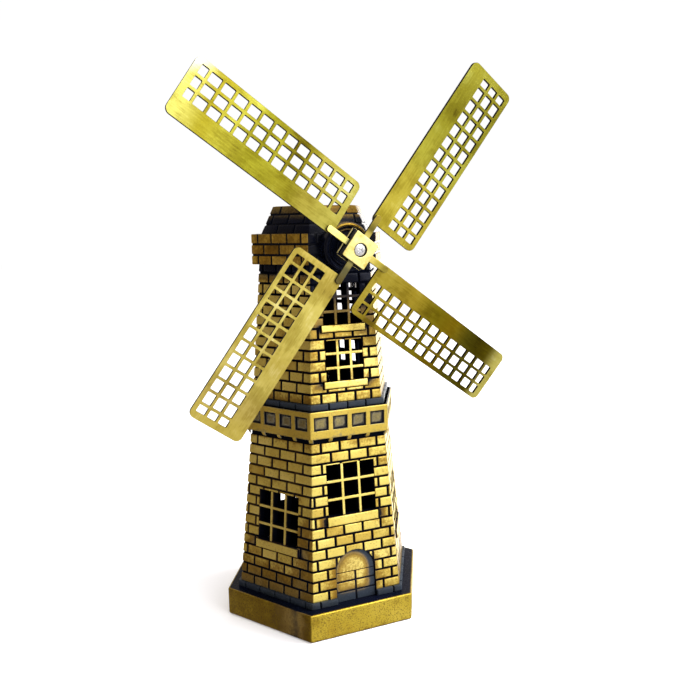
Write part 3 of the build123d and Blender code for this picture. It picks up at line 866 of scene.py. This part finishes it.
for name, stage, windows, seams, joints, wear_and_shade in (
        ("lower", LOWER, LOWER_WINDOWS, LOWER_SEAMS, lower_joints, lower_wear_and_shade),
        ("upper", UPPER, UPPER_WINDOWS, UPPER_SEAMS, upper_joints, upper_wear_and_shade)):
    for part, angles in (("front", FRONT), ("rear", REAR)):
        cast = tower_half(stage, windows, seams, joints, wear_and_shade, angles,
                          stage is LOWER and part == "front")
        cast.build(f"{name}_tower_{part}", brick_brass, "tower", "antique_brass_brick",
                   [f"{name}_shell_{part}"])


# ---- six-sided turned shapes ----
def hexagon(radius, round_r=0.8, per_side=6):
    """Plan outline of a hexagon with rounded corners."""
    def corner_at(a):
        return Vector((math.cos(a), math.sin(a))) * radius

    points = []
    cut = round_r * math.tan(math.radians(30))
    for k in range(6):
        a = math.radians(60 * k)
        corner, after = corner_at(a), corner_at(a + math.pi / 3)
        back = (corner_at(a - math.pi / 3) - corner).normalized()
        ahead = (after - corner).normalized()
        p, q = corner + back * cut, corner + ahead * cut
        centre = corner * (1 - round_r * (1 / math.cos(math.radians(30))) / radius)
        for t in (0, 0.33, 0.67, 1):
            points.append(centre + ((p - centre).lerp(q - centre, t)).normalized() * round_r)
        following = after - ahead * cut
        for i in range(1, per_side):
            points.append(q.lerp(following, i / per_side))
    return points


def circle(radius, steps=64):
    return [(radius * math.cos(2 * math.pi * i / steps), radius * math.sin(2 * math.pi * i / steps))
            for i in range(steps)]


def rings(cast, profile, outline, capped=True, rub_at=None):
    """Joins rings of (radius, height, rub) into one shape; outline gives a ring's points."""
    loops = [[cast.vert((*p, z), rub_at(p, z, rub) if rub_at else rub) for p in outline(radius)]
             for radius, z, rub in profile]
    cast.stack(loops, capped)
    return loops


def hex_turned(cast, profile, round_r=0.8, capped=True, rub_at=None):
    rings(cast, profile, lambda radius: hexagon(radius, min(round_r, radius * 0.3)), capped, rub_at)


def build_base():
    cast = Casting()
    r = BASE_R
    inner = r - BASE_WALL / FLAT

    def rub_at(p, z, rub):
        turn = math.degrees(math.atan2(p.y, p.x))
        along = (-120 - turn) / 60
        tinting = smooth(0.01, 0.12, along) * (1 - smooth(0.14, 0.55, along))
        worn = 0.5 + 0.5 * noise.noise(Vector((p.x * 0.11, p.y * 0.11, z * 0.16)))
        # The whole left side is darker: painted shade.
        left = 0.80 if -180 < turn < -120.5 else 1.0
        return rub * left * (1 - 0.76 * tinting) * mix(0.80, 1.08, worn)

    profile = [(inner, 10.0, 0.0), (inner, BASE_FOOT + 0.3, 0.1), (inner + 0.4, BASE_FOOT, 0.4),
               (r - 0.9, BASE_FOOT, 0.5), (r - 0.35, BASE_FOOT + 0.12, 0.7),
               (r - 0.1, BASE_FOOT + 0.4, 0.8), (r, BASE_FOOT + 0.9, 0.9)]
    profile += [(r, mix(BASE_FOOT + 0.9, BASE_TOP - 0.7, t), 1.0) for t in (0.1, 0.3, 0.5, 0.7, 0.9)]
    profile += [(r, BASE_TOP - 0.7, 1.0), (r - 0.08, BASE_TOP - 0.35, 1.0), (r - 0.3, BASE_TOP - 0.1, 0.95),
                (r - 0.65, BASE_TOP, 0.55), (r - 1.0, BASE_TOP, 0.05), (r - 3.0, BASE_TOP, 0.0),
                (30.0, BASE_TOP, 0.0)]
    hex_turned(cast, profile, 0.9, True, rub_at)
    cast.build("base_casting", base_brass, "tower", "antique_brass_base", ["base"])


build_base()


PANEL_AT, PANEL_HALF_H, PANEL_WIDE = 6.8, 3.0, 6.85    # the gallery's sunk panels


def build_gallery():
    cast = Casting()
    stage = (GALLERY_R, GALLERY_Z, GALLERY_R, GALLERY_TOP)
    walls = sides(stage)
    high = GALLERY_TOP - GALLERY_Z
    low, top = PANEL_AT - PANEL_HALF_H, PANEL_AT + PANEL_HALF_H
    half = PANEL_WIDE / 2
    centres = (-13.65, -4.55, 4.55, 13.65)
    cols = []
    for k in range(6):
        cols += [col(k, 0, -1, 0.12), col(k, 0.5, -1)]
        for c in centres:
            cols += [col(k, c - half), col(k, c + half)]
        cols.append(col(k, -0.5, 1))
    rows = [0, low, top, high]

    def void(i, j):
        return j == 1 and i % 11 in (2, 4, 6, 8)

    cells(cast, walls, cols, rows, 0, -0.9, 0.3, 0.4, void, 0.6, closed=True,
          wobble=0.06, wear_and_shade=lambda wall, u, w: mix(0.9, 1, smooth(0, 3, w)))
    fine_cols, fine_rows = [], [0, low]
    for k in range(6):
        fine_cols.append(col(k, 0, -1))
        for c in centres:
            fine_cols += [col(k, c + half * t) for t in (-1, -0.72, -0.4, 0, 0.4, 0.72, 1)]
    fine_rows += [mix(low, top, t) for t in (0.14, 0.3, 0.5, 0.7, 0.86)] + [top, high]

    def panel_rub(wall, u, w):
        far = min(max(abs(u - c) / half, abs(w - PANEL_AT) / PANEL_HALF_H) for c in centres)
        seed = noise.noise(Vector((u * 0.4 + wall.angle, w * 0.2, 3.3)))
        return mix(0.54 + 0.25 * seed, 0.0, smooth(0.35, 0.95, far))

    cells(cast, walls, fine_cols, fine_rows, -0.82, -3.4, soft=0, wear_and_shade=panel_rub, closed=True)
    inner = GALLERY_R - 0.8 / FLAT
    hex_turned(cast, [(inner, GALLERY_TOP - 2.5, 0), (inner, GALLERY_TOP, 0.1), (24, GALLERY_TOP, 0.0),
                      (24, GALLERY_TOP - 2.5, 0)], 0.1, False)
    for angle in ANGLES:
        for step in (-1, 0, 1):
            corbel(cast, angle, GALLERY_R * FLAT, LOWER[2] * FLAT, step * 9.1)
        corbel(cast, angle + 30, GALLERY_R - 0.35, LOWER[2], 0)
    cast.build("gallery_ring", gallery_brass, "tower", "antique_brass_gallery", ["gallery"])


def corbel(cast, angle, ring_at, wall_at, shift):
    """Small bracket under the gallery, with its front edge rubbed bright."""
    a = math.radians(angle)
    out = Vector((math.cos(a), math.sin(a), 0))
    across = Vector((-math.sin(a), math.cos(a), 0))
    foot = wall_at + 0.3
    side = [(foot, 0.3, 0.0), (foot, -1.8, 0.35), (foot + 0.25, -1.8, 0.7),
            (mix(foot, ring_at, 0.6), -0.95, 1.0), (ring_at - 0.15, -0.1, 1.0), (ring_at - 0.1, 0.3, 0.8)]
    loops = []
    for half, dim in ((-0.95, 0.35), (-0.75, 1.0), (0.75, 1.0), (0.95, 0.35)):
        inset = 0.14 if abs(half) > 0.9 else 0
        loops.append([cast.vert(out * (r - (inset if r > foot + 0.1 else 0)) + across * (half + shift)
                                + Vector((0, 0, GALLERY_Z + z + (inset if z < 0 else 0))), rub * dim, 0.7)
                      for r, z, rub in side])
    cast.stack(loops)


build_gallery()


def cap_joints(row):
    return (-9, 0, 9) if row == 1 else (-12.4, -4.5, 4.5, 12.4)


def cap_wear(wall, u, w):
    if wall.angle == -90:
        return 0.0
    return mix(0.62, 0.95, 0.5 + 0.5 * noise.noise(Vector((u * 0.12, w * 0.2, wall.angle))))


def build_cap():
    cast = Casting()
    walls = sides((CAP_R, CAP_Z, CAP_R, ROOF_Z))
    cols = [col(k, 0, -1) for k in range(6)]
    cells(cast, walls, cols, [0, 13.5], -MORTAR, -THIN, soft=0, closed=True, wear_and_shade=lambda *_: 0)
    bricks(cast, walls, [-0.4, 4.2, 9.0, 13.9], cap_joints, None, cap_wear, closed=True,
           gap_w=0.8, gap_u=0.8, soft=0.35)
    inner = CAP_R - 0.8
    hex_turned(cast, [(inner, CAP_Z + 0.1, 0), (inner, CAP_Z + 2.5, 0), (16.6, CAP_Z + 2.5, 0),
                      (16.6, CAP_Z + 0.1, 0)], 0.1, False)
    cast.build("cap_band", cap_brass, "tower", "antique_brass_cap", ["cap"])


build_cap()


def roof_joints(row):
    return ((-12.6, -4.9, 4.9, 12.6), (-9.2, 0, 9.2), (-5.6, 5.6))[row]


def roof_wear_and_shade(wall, u, w):
    # Darker towards the bottom rows; the left and rear sides are kept darker than the front and right ones as
    # painted shade.
    return mix(0.02, 0.58 if wall.angle in (-90, -30, 30) else 0.32, smooth(4.5, 12.5, w))


def build_roof():
    cast = Casting()
    walls = sides(ROOF)
    cols = [col(k, 0, -1) for k in range(6)]
    cells(cast, walls, cols, [0, walls[0].length], -MORTAR, -THIN, soft=0, closed=True, wear_and_shade=lambda *_: 0)
    flange = CAP_R - THIN / FLAT - 0.06
    hex_turned(cast, [(flange, ROOF_Z - 2.5, 0), (flange, ROOF_Z - 0.05, 0.05), (24.7, ROOF_Z - 0.05, 0),
                      (24.7, ROOF_Z - 2.5, 0)], 0.1, False)
    bricks(cast, walls, [-0.4, 4.45, 9.2, 13.6], roof_joints, None, roof_wear_and_shade, closed=True,
           gap_w=0.7, gap_u=0.7, soft=0.3)
    r = ROOF[2] - 0.55
    hex_turned(cast, [(r - 0.2, ROOF_TOP - 2.5, 0), (r, ROOF_TOP - 0.5, 0.3), (r - 0.4, ROOF_TOP - 0.12, 0.6),
                      (r - 1.0, ROOF_TOP, 0.55), (r - 3.0, ROOF_TOP, 0.4), (12, ROOF_TOP, 0.45),
                      (5, ROOF_TOP, 0.5)], 0.5)
    cast.build("roof_cap", cap_brass, "tower", "antique_brass_roof", ["roof"])


build_roof()

# ---- rotor: local X, Y across the shaft, local Z forward along it ----
ROTOR = Matrix.Translation((0, 0, SHAFT_Z * MM)) @ Matrix.Rotation(NOD, 4, "X") @ Matrix.Rotation(
    math.radians(90), 4, "X")


def build_boss():
    cast = Casting()
    front, r = 34.7, 10.8
    floor = front - 1.4
    profile = [(r, 27.0, 0.0), (r, front - 1.6, 0.15), (r - 0.12, front - 0.8, 0.3),
               (r - 0.45, front - 0.25, 0.5), (r - 0.95, front, 0.95), (r - 1.45, front - 0.12, 0.3),
               (r - 1.85, front - 0.5, 0.08), (r - 2.05, floor + 0.1, 0.03), (8.45, floor, 0.0),
               (8.15, floor + 0.15, 0.1), (7.95, floor + 0.5, 0.3), (7.5, floor + 0.55, 0.3),
               (7.2, floor + 0.2, 0.08), (7.0, floor, 0.0), (5.9, floor, 0.0),
               (5.5, floor + 0.1, 0.05), (5.3, floor + 0.6, 0.2), (5.15, front - 0.2, 0.25),
               (4.8, front, 0.3), (3.6, front, 0.1), (3.52, front - 0.4, 0), (3.52, 27.0, 0)]

    def rub_at(p, t, rub):
        # The rim is gold only on its top, a painted highlight over rubbed gold; elsewhere it stays black.
        top = 0.5 + 0.5 * p[1] / math.hypot(*p)
        return rub * mix(0.05, 0.95, smooth(0.70, 0.99, top))

    loops = rings(cast, profile, lambda radius: circle(radius, 128), False, rub_at)
    plane = CAP_R * FLAT
    for loop in (loops[0], loops[-1]):
        for index in loop:
            p = cast.points[index]
            p.z = (plane + p.y * math.sin(NOD)) / math.cos(NOD)
    cast.build("bearing_boss_casting", cap_brass, "tower", "blackened_brass", ["bearing_boss"], ROTOR)


build_boss()


def rounded(corners, radii, steps=6):
    """Outline with its corners rounded; each corner has a radius."""
    points = []
    n = len(corners)
    for i in range(n):
        c = Vector(corners[i])
        a = (Vector(corners[i - 1]) - c).normalized()
        b = (Vector(corners[(i + 1) % n]) - c).normalized()
        r = radii[i]
        half = a.angle(b) / 2
        cut = r / math.tan(half)
        centre = c + (a + b).normalized() * (r / math.sin(half))
        p, q = c + a * cut - centre, c + b * cut - centre
        for s in range(steps + 1):
            t = s / steps
            d = p.lerp(q, t)
            ang = p.angle(q)
            k0, k1 = math.sin((1 - t) * ang) / math.sin(ang), math.sin(t * ang) / math.sin(ang)
            points.append(centre + p * k0 + q * k1)
    return points


def plate(name, outline, holes, thick, soft, lift):
    """Sheet with holes and rounded edges, its middle plane at height lift, as a mesh in metres."""
    curve = bpy.data.curves.new(name, "CURVE")
    curve.dimensions = "2D"
    curve.fill_mode = "BOTH"
    curve.extrude = (thick / 2 - soft) * MM
    curve.bevel_depth = soft * MM
    curve.bevel_resolution = 1
    curve.offset = -soft * MM
    for loop in [outline, *holes]:
        spline = curve.splines.new("POLY")
        spline.points.add(len(loop) - 1)
        for point, p in zip(spline.points, loop):
            point.co = (p[0] * MM, p[1] * MM, 0, 1)
        spline.use_cyclic_u = True
    obj = link(bpy.data.objects.new(name, curve))
    graph = bpy.context.evaluated_depsgraph_get()
    mesh = bpy.data.meshes.new_from_object(obj.evaluated_get(graph))
    bpy.data.objects.remove(obj)
    bpy.data.curves.remove(curve)
    bm = bmesh.new()
    bm.from_mesh(mesh)
    bmesh.ops.remove_doubles(bm, verts=bm.verts, dist=2e-6)
    for v in bm.verts:
        v.co.z += lift * MM
    bm.to_mesh(mesh)
    bm.free()
    mesh.materials.clear()
    return mesh


def paint(mesh, rub_of, tone):
    """Sets the rub and tone values of a finished mesh from each vertex's place, in mm."""
    rub = mesh.attributes.new("rub", "FLOAT", "POINT")
    rub.data.foreach_set("value", [rub_of(v.co / MM) for v in mesh.vertices])
    layer = mesh.attributes.new("tone", "FLOAT", "POINT")
    layer.data.foreach_set("value", [tone] * len(mesh.vertices))


def on_arm(number):
    """Local X runs out along the arm, local Y to its board side, Z forward from the arm's seat."""
    turn = math.radians(SAIL_ANGLE + 90 * number)
    return (ROTOR @ Matrix.Rotation(turn, 4, "Z") @ Matrix.Translation((0, 0, ARM_T * MM))
            @ Matrix.Rotation(math.radians(-ARM_SET[number]), 4, "Y")
            @ Matrix.Rotation(math.radians(SAIL_PITCH), 4, "X"))


def rectangle(x0, x1, y0, y1):
    return [(x0, y0), (x1, y0), (x1, y1), (x0, y1)]


SAIL_IN, SAIL_OUT, SAIL_TOP, SAIL_LOW = 13.1, 94.2, 1.9, -23.0
SAIL_THICK = 1.4
BAR_FIRST, BAR_PITCH, BAR_WIDE = 20.1, 6.12, 1.25    # the lattice's bars across the sail


def sail_mesh(number):
    outline = rounded(rectangle(SAIL_IN, SAIL_OUT, SAIL_LOW, SAIL_TOP), [2.6] * 4)
    holes = []
    bars = [BAR_FIRST + BAR_PITCH * i for i in range(12)]
    starts = [15.9] + [x + BAR_WIDE / 2 for x in bars]
    ends = [x - BAR_WIDE / 2 for x in bars] + [91.2]
    for a, b in zip(starts, ends):
        for row in range(3):
            top = -(6.4 + 5.25 * row)
            holes.append(rounded(rectangle(a, b, top - 4.0, top), [0.3] * 4, 2))
    return plate(f"sail_{number + 1}_sheet", outline, holes, SAIL_THICK, 0.09, -SAIL_THICK / 2)


for number in range(4):
    body = on_arm(number)
    mesh = sail_mesh(number)
    # Only the two faces are bright; the cut sides are painted black as shade.
    paint(mesh, lambda p: 1.0 if abs(p.z + SAIL_THICK / 2) > SAIL_THICK / 2 - 0.01 else 0.0, 0.5)
    place(f"sail_{number + 1}_lattice", mesh, sail_brasses[number], "rotor",
          [f"sail_{number + 1}"], body, 12)
    bar = rounded(rectangle(3.6, 16.8, 0.2 - 1.45, 0.2 + 1.45), [0.2, 1.2, 1.2, 0.2], 5)
    mesh = plate(f"arm_{number + 1}_bar", bar, [], 1.2, 0.22, 0.6)
    # Only the bar's top is bright; its sides are painted dark as shade.
    paint(mesh, lambda p: 1.0 if p.z > 1.1 else 0.1, 0.5)
    place(f"arm_{number + 1}_strip", mesh, arm_brasses[number], "rotor",
          [f"arm_{number + 1}"], body, 12)

SPUN = ROTOR @ Matrix.Rotation(math.radians(SAIL_ANGLE), 4, "Z")


def join(meshes, name):
    bm = bmesh.new()
    for mesh in meshes:
        bm.from_mesh(mesh)
    made = bpy.data.meshes.new(name)
    bm.to_mesh(made)
    bm.free()
    for mesh in meshes:
        bpy.data.meshes.remove(mesh)
    return made


def build_hub():
    half = 6.6
    square = rounded(rectangle(-half, half, -half, half), [0.7] * 4)
    parts = [plate("hub_back", square, [circle(2.02)], 1.2, 0.12, 42.6)]
    channel, half = 1.6, 6.0
    for sx in (-1, 1):
        for sy in (-1, 1):
            x0, x1 = sorted((sx * (channel + 0.25), sx * half))
            y0, y1 = sorted((sy * (channel + 0.25), sy * half))
            outline = rounded(rectangle(x0, x1, y0, y1), [0.5] * 4, 3)
            parts.append(plate("hub_corner", outline, [], 2.3, 0.15, 44.05))
    parts.append(plate("hub_middle", rounded(rectangle(-3.4, 3.4, -3.4, 3.4), [0.3] * 4, 2),
                       [circle(2.02)], 2.0, 0.1, 44.15))
    mesh = join(parts, "hub_plate_body")
    # Only the rim is bright; the rest, sides included, is painted black as shade.
    paint(mesh, lambda p: 0.9 if max(abs(p.x), abs(p.y)) > 6.55 and p.z > 43.05 else 0.0, 0.5)
    place("hub_plate_body", mesh, hub_brass, "rotor", ["hub_plate"], SPUN, 12)
    square = rounded(rectangle(-half, half, -half, half), [0.7] * 4)
    parts = [plate("cover_front", square, [circle(2.9)], 1.3, 0.25, 46.45),
             plate("cover_back", square, [circle(1.4)], 0.75, 0.1, 45.58)]
    mesh = join(parts, "hub_cover_body")
    # Only the front face is bright; the sides are painted black as shade.
    paint(mesh, lambda p: 1.0 if p.z > 47.0 and p.xy.length > 2.95 else 0.0, 0.5)
    place("hub_cover_body", mesh, hub_brass, "rotor", ["hub_cover"], SPUN, 12)


build_hub()


def build_screw():
    """Domed cross-head screw."""
    cast = Casting()
    seat, reach = 45.8, 2.5
    steps, spokes = 30, 96
    grid = []
    for n in range(steps + 1):
        r = reach * n / steps
        row = []
        for x, y in circle(r, spokes):
            z = seat + 1.2 - 0.5 * (r / reach) ** 2.6
            long, wide = max(abs(x), abs(y)), min(abs(x), abs(y))
            cut = smooth(0.42, 0.22, wide) * smooth(1.5, 1.1, long)
            cut = max(cut, smooth(0.85, 0.45, math.hypot(x, y)))
            row.append(cast.vert((x, y, z - 0.75 * cut), 1.0))
        grid.append(row)
    for a, b in zip(grid, grid[1:]):
        cast.band(a, b)
    previous = grid[-1]
    for r, z in ((2.5, seat), (1.25, seat), (1.25, seat - 8)):
        loop = [cast.vert((*p, z), 1) for p in circle(r, spokes)]
        cast.band(previous, loop)
        previous = loop
    cast.face(previous)
    cast.build("hub_screw_head", screw_steel, "rotor", "screw_steel", ["hub_screw"], SPUN, 30)


build_screw()

# ---- CAD nodes that stay, with their own finishes ----
for node, material in {"base_pad": foam, "base_screws": screw_steel, "tower_screws": screw_steel,
                       "cap_screws": screw_steel, "windshaft": shaft_steel, "shaft_clip": shaft_steel,
                       "shaft_bush": bush_metal, "spacer": shaft_steel}.items():
    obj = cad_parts[node]
    obj.data.materials.clear()
    obj.data.materials.append(material)

# ---- camera ----
# Its place in metres, angles and lens come from scripts that fitted it to the photo.
CAMERA_AT, CAMERA_LENS = (-0.13762, -0.34049, 0.18109), 40.05
yaw, pitch, roll = math.radians(24.20), math.radians(9.05), -0.0176
ahead = Vector((math.sin(yaw) * math.cos(pitch), math.cos(yaw) * math.cos(pitch), -math.sin(pitch)))
right = Vector((math.cos(yaw), -math.sin(yaw), 0))
up = right.cross(ahead)
cam_x = right * math.cos(roll) + up * math.sin(roll)
cam_y = up * math.cos(roll) - right * math.sin(roll)
camera = link(bpy.data.objects.new("camera", bpy.data.cameras.new("camera")))
camera.data.sensor_width, camera.data.lens = 36, CAMERA_LENS
camera.data.clip_start, camera.data.clip_end = 0.01, 20
camera.matrix_world = (Matrix.Translation(CAMERA_AT)
                       @ Matrix((cam_x, cam_y, -ahead)).transposed().to_4x4())
bpy.context.scene.camera = camera

# ---- floor, backdrop and light ----
STAGE_R = 4.0    # metres


def stage_material(name, color, emit):
    g = Graph(bpy.data.materials.new(name))
    wash = g.noise(g.coords(), 6, 2, 0.5)
    shade = g.ramp(wash, ((0.3, tuple(c * 0.985 for c in color)), (0.7, color)))
    return g.out(Base_Color=shade, Roughness=0.9, Emission_Color=(1, 1, 1), Emission_Strength=emit)


def staged(name, bm, material):
    mesh = bpy.data.meshes.new(name)
    bm.to_mesh(mesh)
    bm.free()
    mesh.materials.append(material)
    obj = link(bpy.data.objects.new(name, mesh))
    return obj


bm = bmesh.new()
bmesh.ops.create_circle(bm, cap_ends=True, segments=96, radius=STAGE_R)
floor = staged("floor", bm, stage_material("floor_paper", (0.84, 0.86, 0.92), 0.18))
floor.visible_glossy = False

bm = bmesh.new()
bmesh.ops.create_uvsphere(bm, u_segments=48, v_segments=24, radius=STAGE_R)
sky = staged("backdrop", bm, stage_material("backdrop_white", (0.0, 0.0, 0.0), 1.0))
for flag in ("visible_diffuse", "visible_glossy", "visible_shadow", "visible_transmission",
             "visible_volume_scatter"):
    setattr(sky, flag, False)

studio = Graph(bpy.data.worlds.new("studio"))
bpy.context.scene.world = studio.owner
around = studio.add("ShaderNodeTexCoord").outputs["Generated"]


def glow(direction, start, full, strength):
    """Soft patch of light in the studio, round one direction."""
    facing = studio.add("ShaderNodeVectorMath", operation="DOT_PRODUCT")
    studio.put(facing.inputs[0], around)
    studio.put(facing.inputs[1], Vector(direction).normalized())
    spread = studio.add("ShaderNodeMapRange", interpolation_type="SMOOTHSTEP")
    for key, value in (("Value", facing.outputs["Value"]), ("From Min", start), ("From Max", full),
                       ("To Min", 0), ("To Max", strength)):
        studio.put(spread.inputs[key], value)
    return spread.outputs[0]


level = glow((0.42, -0.90, 0.12), -0.15, 0.90, 0.85)
for light in (((0.60, 0.79, -0.15), 0.90, 0.98, 3.5), ((0.1, 1.0, 0.1), -0.1, 0.9, 0.45),
              ((0.35, -0.15, 0.9), 0.3, 0.98, 0.9)):
    level = studio.math("ADD", level, glow(*light))
background, fill = studio.nodes["Background"], studio.add("ShaderNodeBackground")
both = studio.add("ShaderNodeAddShader")
for socket, value in (
        (background.inputs["Color"], (1.0, 0.99, 0.97)), (background.inputs["Strength"], level),
        (fill.inputs["Color"], (1.0, 0.71, 0.46)), (fill.inputs["Strength"], 0.20),
        (both.inputs[0], background.outputs[0]), (both.inputs[1], fill.outputs[0]),
        (studio.nodes["World Output"].inputs["Surface"], both.outputs[0])):
    studio.put(socket, value)


def softbox(name, at, target, size, power, glossy=True):
    lamp = bpy.data.lights.new(name, "AREA")
    lamp.shape = "RECTANGLE"
    lamp.size, lamp.size_y = size
    lamp.energy = power
    obj = link(bpy.data.objects.new(name, lamp))
    obj.location = at
    obj.rotation_euler = (Vector(target) - Vector(at)).to_track_quat("-Z", "Y").to_euler()
    obj.visible_camera = False
    obj.visible_glossy = glossy


softbox("key", (0.42, -0.85, 0.55), (0, 0, 0.12), (0.7, 0.7), 5)
softbox("back_right", (0.75, 0.75, 0.35), (0, 0, 0.1), (0.8, 0.9), 3, False)
softbox("side_right", (0.50, -0.20, 0.32), (0, 0, 0.02), (0.35, 0.35), 12, False)
softbox("top", (0.1, -0.1, 1.0), (0, 0, 0.1), (0.8, 0.8), 2)

bpy.context.scene.view_settings.view_transform = "Standard"
bpy.context.scene.view_settings.look = "None"
